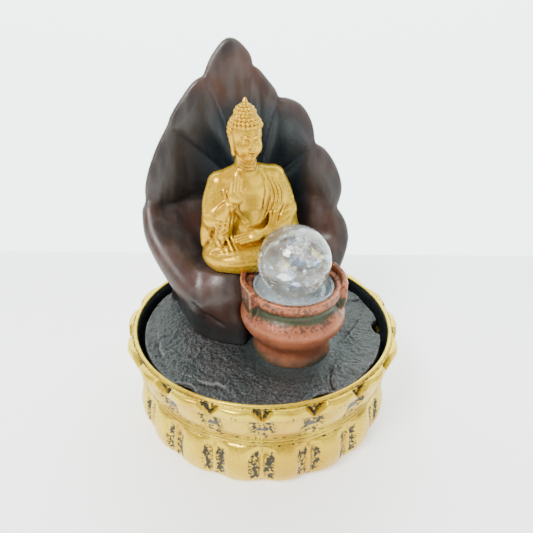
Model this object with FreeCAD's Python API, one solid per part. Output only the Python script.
"""Tabletop water fountain: a lotus basin, a rock-plate lid with a leaf backdrop, a seated figure and a
pot that holds a glass ball, and a small submersible pump inside.

Millimetres, +Z up, the front towards -Y. The origin is under the middle of the basin, on the surface
that its feet stand on.
"""

import FreeCAD
import Part

import math
import os

V = FreeCAD.Vector
UP = V(0, 0, 1)
X_AXIS = V(1, 0, 0)
Y_AXIS = V(0, 1, 0)

# ---- driving dimensions ------------------------------------------------------------------------
PETALS = 18
BASIN_TIP_R = 105.0
BASIN_H = 77.0
BASIN_FOOT_Z = 1.0
BASIN_BORE_R = 96.0
BASIN_LOW_BORE_R = 88.0
BASIN_FLOOR_Z = 6.0
WAIST_R = 92.9
WAIST_Z0, WAIST_Z1 = 38.0, 44.0
SHOULDER_TOP_Z = 54.0
BRACKET_ANGLES = (0, 60, 120, 165, 195, 240, 300)
BRACKET_W = 8.0
BRACKET_IN_R = 84.0

FOOT_R = 7.0
FOOT_SUNK = 1.5
FOOT_PLACE_R = 76.0
GROMMET_Z = 66.0
GROMMET_BORE_R = 3.2
GROMMET_NECK_R = 5.2
GROMMET_FLANGE_R = 7.2

PLATE_R = 91.3
PLATE_TOP_Z = 70.0
PLATE_T = 6.0
NOTCH_R = 12.0
NOTCH_CENTRE_R = 97.5
NOTCH_ANGLES = range(-35, 214, 62)

POT_X, POT_Y = 21.2, -25.8
POT_FLOOR_Z = 78.0
POT_MOUTH_Z = 124.7
POT_MOUTH_R = 28.6
EAR_IN_R, EAR_OUT_R = 33.6, 37.4
EAR_SPAN = 52.0
EAR_ANGLES = [-78, 102]
EAR_ABOVE_LIP = 4.5
GROMMET_SEAT_R = 9.0
TUBE_IN_R, TUBE_OUT_R = 4.0, 5.5
TUBE_BOTTOM_Z, TUBE_TOP_Z = 43.0, 108.0
LEAD_BORE_R = 1.1

BALL_R = 25.4
BALL_Z = 141.4
SEAT_BALL_GAP = 0.3
DISH_ROOM_R = 29.4
SEAT_SHELF_Z = 119.0
STEM_R = 3.95
STEM_BOTTOM_Z = 96.0
JET_R = 2.4
LAMP_LOW_Z, LAMP_HIGH_Z = 105.5, 112.5
LAMP_IN_R, LAMP_OUT_R = 7.0, 20.0
LAMP_WALL = 1.6
LAMP_BOARD_T = 1.2
LED_COUNT = 6
LED_RING_R = 12.6

FIGURE_X, FIGURE_Y, FIGURE_Z = -9.0, 10.0, 125.0
FIGURE_YAW = 22.0
BOWL_Z = 108.0

PUMP_AXIS_Z = 24.0
PUMP_HALF_W = 16.0
HOUSING_X0, HOUSING_X1 = -15.0, 15.0
HOUSING_Z0, HOUSING_Z1 = 10.0, 42.0
PUMP_WALL = 2.0
WELL_R = 8.0
WELL_WALL = 1.2
WELL_BACK_X = -11.0
VOLUTE_R = 12.0
VOLUTE_WALL = 1.4
VOLUTE_X1 = 27.0
RISER_R = 6.0
RISER_TOP_Z = 42.5
SPIGOT_R = 3.95
SPIGOT_TOP_Z = 52.0
SHAFT_R = 1.0
ROTOR_GAP = 0.05
MAGNET_R = 7.2
MAGNET_X0, MAGNET_X1 = -8.6, 14.0
VANE_R = 9.6
VANES = 6
BUSH_L = 2.0
REAR_BUSH_R, FRONT_BUSH_R = 3.0, 2.2
CORE_X0, CORE_X1 = -7.0, 6.0
CORE_HALF_W = 13.0
YOKE_Z0, YOKE_Z1 = 35.4, 40.0
GLAND_R, GLAND_BORE_R = 2.4, 1.2
COVER_X0, COVER_X1 = 15.2, 38.0
COVER_TOP_Z = 38.5
COVER_WALL = 1.8
COVER_SLOTS = 7
PORT_R, PORT_RING_R = 1.6, 5.2
DIAL_R, DIAL_T = 8.5, 2.0


# ---- helpers -----------------------------------------------------------------------------------
def on_circle(radius, degrees, z=0.0):
    """A point at an angle that runs from the front (-Y) towards +X."""
    a = math.radians(degrees)
    return V(radius * math.sin(a), -radius * math.cos(a), z)


def cylinder(radius, height, base, axis=UP):
    return Part.makeCylinder(radius, height, base, axis)


def tube(outer, inner, height, base, axis=UP):
    return cylinder(outer, height, base, axis).cut(cylinder(inner, height, base, axis))


def box(lo, hi):
    return Part.makeBox(hi[0] - lo[0], hi[1] - lo[1], hi[2] - lo[2], V(*lo))


def revolved(points, centre=V(0, 0, 0)):
    """A solid of revolution about the vertical line through centre, from (radius, z) points."""
    profile = Part.makePolygon([V(r, 0, z) for r, z in points + points[:1]])
    solid = Part.Face(profile).revolve(V(0, 0, 0), UP, 360)
    solid.translate(centre)
    return solid


def smooth_revolved(curve, closing, centre):
    """A solid of revolution whose profile is a spline through curve, closed by straight runs."""
    spline = Part.BSplineCurve()
    spline.interpolate([V(r, 0, z) for r, z in curve])
    ends = [V(*p) for p in [(curve[-1][0], 0, curve[-1][1])]]
    ends += [V(r, 0, z) for r, z in closing]
    ends.append(V(curve[0][0], 0, curve[0][1]))
    edges = [spline.toShape()]
    edges += [Part.makeLine(a, b) for a, b in zip(ends, ends[1:])]
    solid = Part.Face(Part.Wire(edges)).revolve(V(0, 0, 0), UP, 360)
    solid.translate(centre)
    return solid


def ellipsoid(centre, radii, yaw=0.0, tilt=0.0, roll=0.0):
    """An ellipsoid turned by roll about Y, then tilt about X, then yaw about Z, in degrees."""
    matrix = FreeCAD.Matrix()
    matrix.scale(*radii)
    solid = Part.makeSphere(1.0)
    solid.rotate(V(0, 0, 0), X_AXIS, 90)
    solid = solid.transformGeometry(matrix)
    solid.rotate(V(0, 0, 0), Y_AXIS, roll)
    solid.rotate(V(0, 0, 0), X_AXIS, tilt)
    solid.rotate(V(0, 0, 0), UP, yaw)
    solid.translate(V(*centre))
    return solid


def closed_curve(points):
    """A smooth closed wire through points."""
    spline = Part.BSplineCurve()
    spline.interpolate(points, PeriodicFlag=True)
    return Part.Wire([spline.toShape()])


def fused(shapes):
    whole = shapes[0].multiFuse(shapes[1:]) if len(shapes) > 1 else shapes[0]
    return whole.removeSplitter()


def save(name, shape):
    solids = shape.Solids
    group = solids[0] if len(solids) == 1 else Part.makeCompound(solids)
    if not group.isValid():
        print("not valid:", name)
    print(f"{name}: {len(solids)} solid(s), {group.Volume / 1000:.2f} cm3")
    group.exportStep(f"parts/{name}.step")


# ---- basin -------------------------------------------------------------------------------------
def petal_ring(z, radius, swell):
    """A closed scalloped wire: full radius at the middle of each petal, less between petals."""
    steps = PETALS * 6
    points = []
    for i in range(steps):
        phase = math.pi * i / 6
        lobe = abs(math.sin(phase))
        points.append(on_circle(radius - swell * (1 - lobe), 360 * i / steps, z))
    return closed_curve(points)


def petal_tier(levels):
    """A solid lofted through (z, radius, swell) rings."""
    return Part.makeLoft([petal_ring(*level) for level in levels], True)


def basin_brackets():
    """Upright ribs on the inner wall that carry the plate."""
    top = PLATE_TOP_Z - PLATE_T
    within_wall = revolved([
        (0, WAIST_Z0), (WAIST_R - 1, WAIST_Z0), (WAIST_R - 1, WAIST_Z1), (BASIN_BORE_R + 1, SHOULDER_TOP_Z),
        (BASIN_BORE_R + 1, top), (0, top),
    ])
    ribs = []
    for angle in BRACKET_ANGLES:
        rib = box((-BRACKET_W / 2, -BASIN_TIP_R, WAIST_Z0), (BRACKET_W / 2, -BRACKET_IN_R, top))
        rib = rib.common(within_wall)
        rib.rotate(V(0, 0, 0), UP, angle)
        ribs.append(rib)
    return ribs


def foot_places():
    return [on_circle(FOOT_PLACE_R, angle) for angle in (45, 135, 225, 315)]


def basin():
    """A double row of petals outside, a smooth bore inside, and ribs for the plate."""
    lower = petal_tier([
        (BASIN_FOOT_Z, 92.5, 0.5), (6, 95.5, 1.5), (16, 97.5, 2.5), (26, 97.0, 2.5), (33, 94.5, 1.5),
        (WAIST_Z0, WAIST_R - 0.1, 0.3),
    ])
    upper = petal_tier([
        (WAIST_Z1, 93.5, 0.3), (50, 97.5, 1.5), (58, 100.0, 2.0), (66, 102.0, 2.0),
        (72, BASIN_TIP_R - 0.6, 4.0), (75, BASIN_TIP_R, 6.0), (BASIN_H, BASIN_TIP_R - 4.5, 3.0),
    ])
    waist = cylinder(WAIST_R, WAIST_Z1 - WAIST_Z0, V(0, 0, WAIST_Z0))
    corner = 4.0
    cavity = revolved([
        (0, BASIN_FLOOR_Z), (BASIN_LOW_BORE_R - corner, BASIN_FLOOR_Z),
        (BASIN_LOW_BORE_R, BASIN_FLOOR_Z + corner), (BASIN_LOW_BORE_R, WAIST_Z1),
        (BASIN_BORE_R, SHOULDER_TOP_Z), (BASIN_BORE_R, BASIN_H + 1), (0, BASIN_H + 1),
    ])
    shell = fused([lower, waist, upper]).cut(cavity)
    shell = fused([shell, *basin_brackets()])
    for place in foot_places():
        shell = shell.cut(cylinder(FOOT_R, FOOT_SUNK, place + UP * BASIN_FOOT_Z))
    return shell.cut(cylinder(GROMMET_NECK_R, BASIN_TIP_R, V(0, PLATE_R, GROMMET_Z), Y_AXIS))


def basin_feet():
    """Round rubber pads sunk in the underside."""
    return Part.makeCompound([cylinder(FOOT_R, BASIN_FOOT_Z + FOOT_SUNK, place) for place in foot_places()])


def cord_grommet():
    """A flanged rubber bush in the back wall, for the pump's lead."""
    inner_y = BASIN_BORE_R - 1.6
    flange = tube(GROMMET_FLANGE_R, GROMMET_BORE_R, 3.0, V(0, inner_y, GROMMET_Z), Y_AXIS)
    neck = tube(GROMMET_NECK_R, GROMMET_BORE_R, 9.0, V(0, inner_y, GROMMET_Z), Y_AXIS)
    return fused([flange.common(cylinder(BASIN_BORE_R, BASIN_H, V(0, 0, 0))), neck])


# ---- lid: plate, backdrop, figure, pot ----------------------------------------------------------
def rock_plate():
    """A round slab with scallops in its edge, where the water runs back into the basin."""
    bottom = PLATE_TOP_Z - PLATE_T
    plate = cylinder(PLATE_R, PLATE_T, V(0, 0, bottom))
    plate = plate.makeChamfer(1.2, [e for e in plate.Edges if e.BoundBox.ZMin > PLATE_TOP_Z - 0.1])
    for angle in NOTCH_ANGLES:
        plate = plate.cut(cylinder(NOTCH_R, PLATE_T + 2, on_circle(NOTCH_CENTRE_R, angle, bottom - 1)))
    return plate.cut(cylinder(GROMMET_SEAT_R, PLATE_T + 2, V(POT_X, POT_Y, bottom - 1)))


# The backdrop's foot on the plate, and the bowl under the figure, as (x, y).
FOOT_OUTLINE = [
    (-77, 42), (-64, 14), (-52, -11), (-35, -23), (-13, -27), (4, -14), (26, 10), (47, 22), (52, 42),
    (36, 66), (-10, 76), (-56, 68),
]
BOWL_OUTLINE = [
    (-81, 32), (-72, 2), (-56, -16), (-36, -25), (-12, -23), (6, -8), (30, 8), (52, 18), (62, 38),
    (42, 64), (-10, 76), (-62, 64),
]

# The leaf's thick wall: what is left of one ellipsoid after another is taken out of its front.
WALL_CENTRE, WALL_RADII = (-12, 30, 158), (70, 46, 88)
HOLLOW_CENTRE, HOLLOW_RADII = (-12, 4, 180), (62, 52, 88)
WALL_FRONT_Y = 12.0

# The leaf's overlapping lobes: centre, half sizes, yaw, tilt, roll.
LEAF_LOBES = [
    ((-24, 52, 238), (24, 9, 37), 0, -8, -5),
    ((-1, 52, 216), (22, 9, 38), 8, -4, 18),
    ((-48, 46, 210), (26, 10, 40), -28, -6, -24),
    ((16, 47, 196), (26, 9, 38), 24, -4, 26),
    ((-68, 34, 174), (24, 12, 44), -48, -4, -12),
    ((38, 46, 166), (26, 10, 38), 34, -4, 22),
    ((-72, 30, 128), (22, 15, 40), -60, 0, 8),
    ((44, 40, 130), (24, 13, 38), 46, 0, 8),
]
LEDGE_R = 36.0
LIP = ((-35, -4, 106), (30, 20, 15), -18, 0, 0)


def room_for_pot():
    """The pot's outline with a little air round it."""
    return revolved([
        (0, PLATE_TOP_Z - 1), (29.5, PLATE_TOP_Z - 1), (29.5, 85), (39, 95), (39, 200), (0, 200),
    ], V(POT_X, POT_Y, 0))


def backdrop():
    """One thick cupped leaf that stands on the plate and carries the figure on a ledge."""
    foot = closed_curve([V(x, y, PLATE_TOP_Z) for x, y in FOOT_OUTLINE])
    waist = closed_curve([V(x * 0.98, y * 0.97, 88) for x, y in FOOT_OUTLINE])
    bowl = closed_curve([V(x, y, BOWL_Z) for x, y in BOWL_OUTLINE])
    base = Part.makeLoft([foot, waist, bowl], True)
    wall = ellipsoid(WALL_CENTRE, WALL_RADII).cut(ellipsoid(HOLLOW_CENTRE, HOLLOW_RADII))
    leaf = wall.cut(box((-200, -200, BOWL_Z + 4), (200, WALL_FRONT_Y, 320)))
    ledge = cylinder(LEDGE_R, FIGURE_Z - BOWL_Z + 8, V(FIGURE_X, FIGURE_Y + 8, BOWL_Z - 8))
    for piece in [*[ellipsoid(*lobe) for lobe in LEAF_LOBES], base, ledge, ellipsoid(*LIP)]:
        leaf = leaf.fuse(piece)
    return leaf.cut(room_for_pot()).cut(box((-200, -200, 0), (200, 200, PLATE_TOP_Z)))


# Parts of the seated figure: centre, half length, radius, direction. The front is -Y.
FIGURE_PARTS = [
    ((0, -2, 8), 35, 13.3, X_AXIS),
    ((-22, -8, 8), 15, 11.5, V(-1, 0.4, 0)),
    ((22, -8, 8), 15, 11.5, V(1, 0.4, 0)),
    ((0, 5, 34), 31, 15.2, UP),
    ((0, 5, 57), 24, 9.2, X_AXIS),
    ((-20.5, 2, 40), 23, 7.8, V(-0.12, 0, 1)),
    ((20.5, 3, 37), 24, 7.8, V(0.16, 0, 1)),
    ((-13, -9, 50), 16, 5.5, V(0.1, 0, 1)),
    ((-2, -12, 23), 13, 6.0, X_AXIS),
    ((0, 3, 70), 12, 7.4, UP),
    ((0, 2, 86), 17, 11.8, UP),
    ((0, 4, 97), 12, 10.9, UP),
    ((0, 4, 109), 8, 5.7, UP),
]


def rounded_bar(centre, half_length, radius, direction):
    """A cylinder with ball ends that runs along direction."""
    run = half_length - radius
    slant = radius * math.sqrt(0.5)
    start, end = V(-half_length, 0, 0), V(half_length, 0, 0)
    shoulders = [V(-run, 0, radius), V(run, 0, radius)]
    profile = Part.Wire([
        Part.Arc(start, V(-run - slant, 0, slant), shoulders[0]).toShape(),
        Part.makeLine(*shoulders),
        Part.Arc(shoulders[1], V(run + slant, 0, slant), end).toShape(),
        Part.makeLine(end, start),
    ])
    solid = Part.Face(profile).revolve(V(0, 0, 0), X_AXIS, 360)
    solid.Placement = FreeCAD.Placement(V(*centre), FreeCAD.Rotation(X_AXIS, direction))
    return solid


def seated_figure():
    """A cross-legged figure in a robe: legs, lap, body, arms, hand, head and topknot."""
    room = cylinder(DISH_ROOM_R, BALL_Z, V(POT_X, POT_Y, FIGURE_Z - 20))
    pieces = []
    for part in FIGURE_PARTS:
        piece = rounded_bar(*part)
        piece.rotate(V(0, 0, 0), UP, FIGURE_YAW)
        piece.translate(V(FIGURE_X, FIGURE_Y, FIGURE_Z))
        pieces.append(piece.cut(room))
    figure = pieces[0]
    for piece in pieces[1:]:
        figure = figure.fuse(piece)
    return figure.cut(box((-80, -60, FIGURE_Z - 30), (80, 60, FIGURE_Z)))


def pot_ear(angle):
    """An upright curved lug that stands beside the lip."""
    low, neck = 100.0, 112.0
    ring = tube(EAR_OUT_R, EAR_IN_R - 2, POT_MOUTH_Z + EAR_ABOVE_LIP - low, V(0, 0, low))
    ring = ring.cut(cylinder(EAR_IN_R, POT_MOUTH_Z, V(0, 0, neck)))
    spread = 2 * EAR_OUT_R * math.tan(math.radians(EAR_SPAN / 2))
    corners = [V(0, 0, low), V(-spread, -2 * EAR_OUT_R, low), V(spread, -2 * EAR_OUT_R, low)]
    wedge = Part.Face(Part.makePolygon(corners + corners[:1])).extrude(UP * POT_MOUTH_Z)
    ear = ring.common(wedge)
    ear.rotate(V(0, 0, 0), UP, angle)
    ear.translate(V(POT_X, POT_Y, 0))
    return ear


def pot():
    """A round-bellied pot with two ears, a neck band and a rebated mouth for the ball's dish."""
    centre = V(POT_X, POT_Y, 0)
    outside = [
        (27.6, PLATE_TOP_Z), (28.2, 74), (27.4, 80), (27.8, 84), (33, 90), (37.2, 97), (37.4, 104),
        (34.2, 110), (31.2, 113.5), (31.6, 116.5),
    ]
    lip = [(33.4, 118), (33.4, POT_MOUTH_Z), (0, POT_MOUTH_Z), (0, PLATE_TOP_Z)]
    inside = revolved([
        (0, POT_FLOOR_Z), (22, POT_FLOOR_Z), (24, 84), (31.5, 93), (33, 100), (30.5, 107), (27.5, 111),
        (25.0, SEAT_SHELF_Z), (POT_MOUTH_R, SEAT_SHELF_Z), (POT_MOUTH_R, POT_MOUTH_Z + 1),
        (0, POT_MOUTH_Z + 1),
    ], centre)
    whole = fused([smooth_revolved(outside, lip, centre), *[pot_ear(angle) for angle in EAR_ANGLES]])
    return whole.cut(inside).cut(cylinder(GROMMET_SEAT_R, POT_FLOOR_Z, centre + UP * (PLATE_TOP_Z - 1)))


def tube_grommet():
    """A rubber ring that holds the water tube in the plate and the pot's floor, with the lamp lead's bore."""
    bottom = PLATE_TOP_Z - PLATE_T
    ring = tube(GROMMET_SEAT_R, TUBE_OUT_R, POT_FLOOR_Z - bottom, V(POT_X, POT_Y, bottom))
    lead_y = POT_Y + (GROMMET_SEAT_R + TUBE_OUT_R) / 2
    return ring.cut(cylinder(LEAD_BORE_R, POT_FLOOR_Z, V(POT_X, lead_y, bottom - 1)))


def supply_tube():
    return tube(TUBE_OUT_R, TUBE_IN_R, TUBE_TOP_Z - TUBE_BOTTOM_Z, V(POT_X, POT_Y, TUBE_BOTTOM_Z))


# ---- ball seat, lamp and ball --------------------------------------------------------------------
def ball_seat():
    """A clear dish: a stem for the water, a socket that fits the ball, a moat and a rim."""
    socket = Part.makeSphere(BALL_R + SEAT_BALL_GAP, V(POT_X, POT_Y, BALL_Z))
    rim_r = POT_MOUTH_R - 0.3
    dish = revolved([
        (JET_R, STEM_BOTTOM_Z), (STEM_R, STEM_BOTTOM_Z), (STEM_R, LAMP_HIGH_Z), (12, 113.5), (20, 117.2),
        (25.0, SEAT_SHELF_Z), (rim_r, SEAT_SHELF_Z), (rim_r, 123.4), (26.8, 123.4), (26.4, 121.4),
        (22.5, 120.2), (20.0, 120.6), (18.4, 123.6), (17.0, 123.6), (JET_R, 116.6),
    ], V(POT_X, POT_Y, 0))
    return dish.cut(socket)


def lamp_ring(outer, inner, z0, z1):
    """A ring about the dish's stem."""
    return tube(outer, inner, z1 - z0, V(POT_X, POT_Y, z0))


def lamp_housing():
    """A ring-shaped cup that hangs on the dish's stem."""
    shell = lamp_ring(LAMP_OUT_R, STEM_R, LAMP_LOW_Z, LAMP_HIGH_Z)
    room = lamp_ring(LAMP_OUT_R - LAMP_WALL, LAMP_IN_R, LAMP_LOW_Z + LAMP_WALL, LAMP_HIGH_Z)
    tube_room = cylinder(TUBE_OUT_R + 0.3, TUBE_TOP_Z - LAMP_LOW_Z + 0.5, V(POT_X, POT_Y, LAMP_LOW_Z))
    return shell.cut(room).cut(tube_room)


def lamp_board():
    z0 = LAMP_LOW_Z + LAMP_WALL
    return lamp_ring(LAMP_OUT_R - LAMP_WALL - 0.1, LAMP_IN_R + 0.1, z0, z0 + LAMP_BOARD_T)


def lamp_leds():
    """Surface-mount lights in a ring on the board."""
    leds = []
    for i in range(LED_COUNT):
        led = box((-1.75, -1.4, 0), (1.75, 1.4, 1.6))
        led.translate(V(0, -LED_RING_R, LAMP_LOW_Z + LAMP_WALL + LAMP_BOARD_T))
        led.rotate(V(0, 0, 0), UP, 360 / LED_COUNT * i)
        led.translate(V(POT_X, POT_Y, 0))
        leds.append(led)
    return Part.makeCompound(leds)


def lamp_lens():
    return lamp_ring(LAMP_OUT_R - LAMP_WALL - 0.1, LAMP_IN_R + 0.1, LAMP_HIGH_Z - 1.5, LAMP_HIGH_Z - 0.1)


def lamp_gland():
    """The lamp lead's strain relief, under the lamp."""
    drop = 6.0
    return tube(2.6, LEAD_BORE_R, drop, V(POT_X, POT_Y + LED_RING_R, LAMP_LOW_Z - drop))


def crystal_ball():
    return Part.makeSphere(BALL_R, V(POT_X, POT_Y, BALL_Z))


# ---- pump ------------------------------------------------------------------------------------------
def along_x(radius, x0, x1):
    """A cylinder on the rotor's axis from x0 to x1."""
    return cylinder(radius, x1 - x0, V(x0, POT_Y, PUMP_AXIS_Z), X_AXIS)


def pump_box(x0, x1, half_w, z0, z1):
    """A block that is centred on the rotor's axis from side to side."""
    return box((x0, POT_Y - half_w, z0), (x1, POT_Y + half_w, z1))


def pump_pocket():
    """The room for the motor's core and coil, open at the top."""
    room = pump_box(HOUSING_X0 + PUMP_WALL, HOUSING_X1 - PUMP_WALL, PUMP_HALF_W - PUMP_WALL,
                    HOUSING_Z0 + PUMP_WALL, HOUSING_Z1)
    return room.cut(along_x(WELL_R + WELL_WALL, WELL_BACK_X - 1.5, HOUSING_X1))


def suction_places():
    return [V(x, y, 0) for x in (-9.5, 9.5) for y in (POT_Y - 10.5, POT_Y + 10.5)]


def pump_housing():
    """The motor's case, with a sealed well for the rotor and four pegs for the front cover."""
    body = pump_box(HOUSING_X0, HOUSING_X1, PUMP_HALF_W, HOUSING_Z0, HOUSING_Z1)
    body = body.makeFillet(4.0, [e for e in body.Edges if abs(e.tangentAt(e.FirstParameter).z) > 0.99])
    body = body.cut(pump_pocket()).cut(along_x(WELL_R, WELL_BACK_X, HOUSING_X1))
    bush_seat = along_x(REAR_BUSH_R + 1.5, WELL_BACK_X, WELL_BACK_X + BUSH_L)
    bush_seat = bush_seat.cut(along_x(REAR_BUSH_R, WELL_BACK_X, WELL_BACK_X + BUSH_L))
    for place in suction_places():
        body = body.cut(cylinder(1.5, 1.5, place + UP * HOUSING_Z0))
    inside_y = PUMP_HALF_W - COVER_WALL - 0.05
    z_low, z_high = HOUSING_Z0 + COVER_WALL + 0.05, COVER_TOP_Z - COVER_WALL - 0.05
    peg = 3.0
    pegs = []
    for y in (POT_Y - inside_y, POT_Y + inside_y - peg):
        for z in (z_low, z_high - peg):
            pegs.append(box((HOUSING_X1 - 3, y, z), (HOUSING_X1 + 4, y + peg, z + peg)))
    inner_pegs = pump_pocket()
    return fused([body, bush_seat, *[piece.cut(inner_pegs) for piece in pegs]])


def stator_core():
    """Two iron legs beside the rotor's well, and the yoke across their top."""
    block = pump_box(CORE_X0, CORE_X1, CORE_HALF_W, PUMP_AXIS_Z - 8.0, YOKE_Z1)
    window = pump_box(CORE_X0, CORE_X1, 5.0, PUMP_AXIS_Z - 8.0, YOKE_Z0)
    return block.cut(window).cut(along_x(WELL_R + WELL_WALL, CORE_X0 - 1, CORE_X1 + 1))


def stator_coil():
    """The winding round the yoke."""
    return pump_box(CORE_X0 - 3, CORE_X1 + 3, 4.8, YOKE_Z0 - 1.6, YOKE_Z1 + 1.2).cut(stator_core())


def gland_base():
    return V(HOUSING_X0 + 4.8, POT_Y - 9.5, HOUSING_Z1 - 3.0)


def pump_potting():
    """The resin that seals the motor in the housing."""
    motor = fused([stator_core(), stator_coil()])
    return pump_pocket().cut(motor).cut(cylinder(GLAND_R, 6.0, gland_base()))


def pump_gland():
    """The lead's strain relief, on top of the resin."""
    return tube(GLAND_R, GLAND_BORE_R, 6.0, gland_base())


FRONT_BUSH_X = VOLUTE_X1 - VOLUTE_WALL - BUSH_L


def rotor_shaft():
    return along_x(SHAFT_R, WELL_BACK_X + 0.2, FRONT_BUSH_X + BUSH_L)


def shaft_bushes():
    """A rubber bush at each end of the ceramic shaft."""
    rear = along_x(REAR_BUSH_R, WELL_BACK_X, WELL_BACK_X + BUSH_L)
    front = along_x(FRONT_BUSH_R, FRONT_BUSH_X, FRONT_BUSH_X + BUSH_L)
    return Part.makeCompound([bush.cut(rotor_shaft()) for bush in (rear, front)])


def rotor_bore():
    return along_x(SHAFT_R + ROTOR_GAP, WELL_BACK_X, VOLUTE_X1)


def rotor_magnet():
    return along_x(MAGNET_R, MAGNET_X0, MAGNET_X1).cut(rotor_bore())


def impeller():
    """Flat vanes on a disc and hub that are fixed to the magnet."""
    disc = along_x(VANE_R, MAGNET_X1 + 2.0, MAGNET_X1 + 3.2)
    hub = along_x(3.0, MAGNET_X1, FRONT_BUSH_X - 0.6)
    vanes = []
    for i in range(VANES):
        vane = box((MAGNET_X1 + 3.0, -0.6, 2.0), (FRONT_BUSH_X - 0.9, 0.6, VANE_R))
        vane.rotate(V(0, 0, 0), X_AXIS, 360 / VANES * i)
        vane.translate(V(0, POT_Y, PUMP_AXIS_Z))
        vanes.append(vane)
    return fused([disc, hub, *vanes]).cut(rotor_bore())


def volute():
    """The impeller's chamber, with the inlet eye in front and the outlet spigot on top."""
    outer = fused([
        along_x(VOLUTE_R, HOUSING_X1, VOLUTE_X1),
        cylinder(RISER_R, RISER_TOP_Z - PUMP_AXIS_Z, V(POT_X, POT_Y, PUMP_AXIS_Z)),
        cylinder(SPIGOT_R, SPIGOT_TOP_Z - PUMP_AXIS_Z, V(POT_X, POT_Y, PUMP_AXIS_Z)),
    ])
    front = VOLUTE_X1 - VOLUTE_WALL
    chamber = along_x(VOLUTE_R - VOLUTE_WALL, HOUSING_X1, front)
    bore = cylinder(2.8, SPIGOT_TOP_Z, V(POT_X, POT_Y, PUMP_AXIS_Z))
    eye = along_x(6.5, front, VOLUTE_X1)
    bush_holder = along_x(FRONT_BUSH_R + 0.8, FRONT_BUSH_X, VOLUTE_X1)
    bush_holder = bush_holder.cut(along_x(FRONT_BUSH_R, FRONT_BUSH_X, FRONT_BUSH_X + BUSH_L))
    bar = pump_box(front, VOLUTE_X1, 6.8, PUMP_AXIS_Z - 0.8, PUMP_AXIS_Z + 0.8)
    return fused([outer.cut(chamber).cut(bore).cut(eye), bush_holder, bar])


def intake_ports(x0, x1):
    """The holes that the dial opens and closes."""
    ports = []
    for k in range(3):
        port = along_x(PORT_R, x0, x1)
        port.translate(UP * PORT_RING_R)
        port.rotate(V(0, POT_Y, PUMP_AXIS_Z), X_AXIS, 120 * k)
        ports.append(port)
    return fused(ports)


def intake_cover():
    """The pull-off front cover: open at the back, slotted for the riser, with intake slots in front."""
    shell = pump_box(COVER_X0, COVER_X1, PUMP_HALF_W, HOUSING_Z0, COVER_TOP_Z)
    front_edges = [e for e in shell.Edges if e.BoundBox.XMin > COVER_X1 - 0.1]
    shell = shell.makeFillet(1.5, front_edges)
    room = pump_box(COVER_X0 - 1, COVER_X1 - COVER_WALL, PUMP_HALF_W - COVER_WALL,
                    HOUSING_Z0 + COVER_WALL, COVER_TOP_Z - COVER_WALL)
    riser_slot = pump_box(COVER_X0 - 1, POT_X + RISER_R + 0.6, RISER_R + 0.4, PUMP_AXIS_Z, COVER_TOP_Z + 1)
    shell = shell.cut(room).cut(riser_slot)
    pitch = 3.6
    for i in range(COVER_SLOTS):
        y = POT_Y + (i - (COVER_SLOTS - 1) / 2) * pitch
        shell = shell.cut(box((COVER_X1 - 3, y - 0.8, 12.6), (COVER_X1 + 1, y + 0.8, 15.0)))
        shell = shell.cut(box((COVER_X1 - 3, y - 0.8, 33.4), (COVER_X1 + 1, y + 0.8, 35.8)))
    pin = along_x(1.6, COVER_X1 - COVER_WALL, COVER_X1 + DIAL_T + 0.4)
    head = along_x(2.4, COVER_X1 + DIAL_T + 0.4, COVER_X1 + DIAL_T + 1.2)
    return fused([shell.cut(intake_ports(COVER_X1 - 3, COVER_X1 + 1)), pin, head])


def flow_dial():
    """The round shutter that opens and closes the intake ports, with a finger tab."""
    x0, x1 = COVER_X1 + 0.2, COVER_X1 + 0.2 + DIAL_T
    tab = pump_box(x0, x1, 1.5, PUMP_AXIS_Z + DIAL_R - 1, PUMP_AXIS_Z + DIAL_R + 3)
    dial = fused([along_x(DIAL_R, x0, x1), tab])
    return dial.cut(along_x(1.65, x0, x1)).cut(intake_ports(x0 - 1, x1 + 1))


def suction_cups():
    """Rubber cups that hold the pump on the basin's floor."""
    z0, z1 = BASIN_FLOOR_Z, HOUSING_Z0
    profile = [
        (0, z0 + 1.0), (3.5, z0 + 0.8), (5.6, z0), (6.0, z0), (3.2, z1 - 0.8), (3.2, z1), (1.5, z1),
        (1.5, z1 + 1.4), (0, z1 + 1.4),
    ]
    return Part.makeCompound([revolved(profile, place) for place in suction_places()])


PIECES = [
    basin, basin_feet, cord_grommet, rock_plate, backdrop, seated_figure, pot, tube_grommet, supply_tube,
    ball_seat, lamp_housing, lamp_board, lamp_leds, lamp_lens, lamp_gland, crystal_ball, pump_housing,
    stator_core, stator_coil, pump_potting, pump_gland, rotor_shaft, shaft_bushes, rotor_magnet, impeller,
    volute, intake_cover, flow_dial, suction_cups,
]


def main():
    os.makedirs("parts", exist_ok=True)
    for piece in PIECES:
        save(piece.__name__, piece())


main()
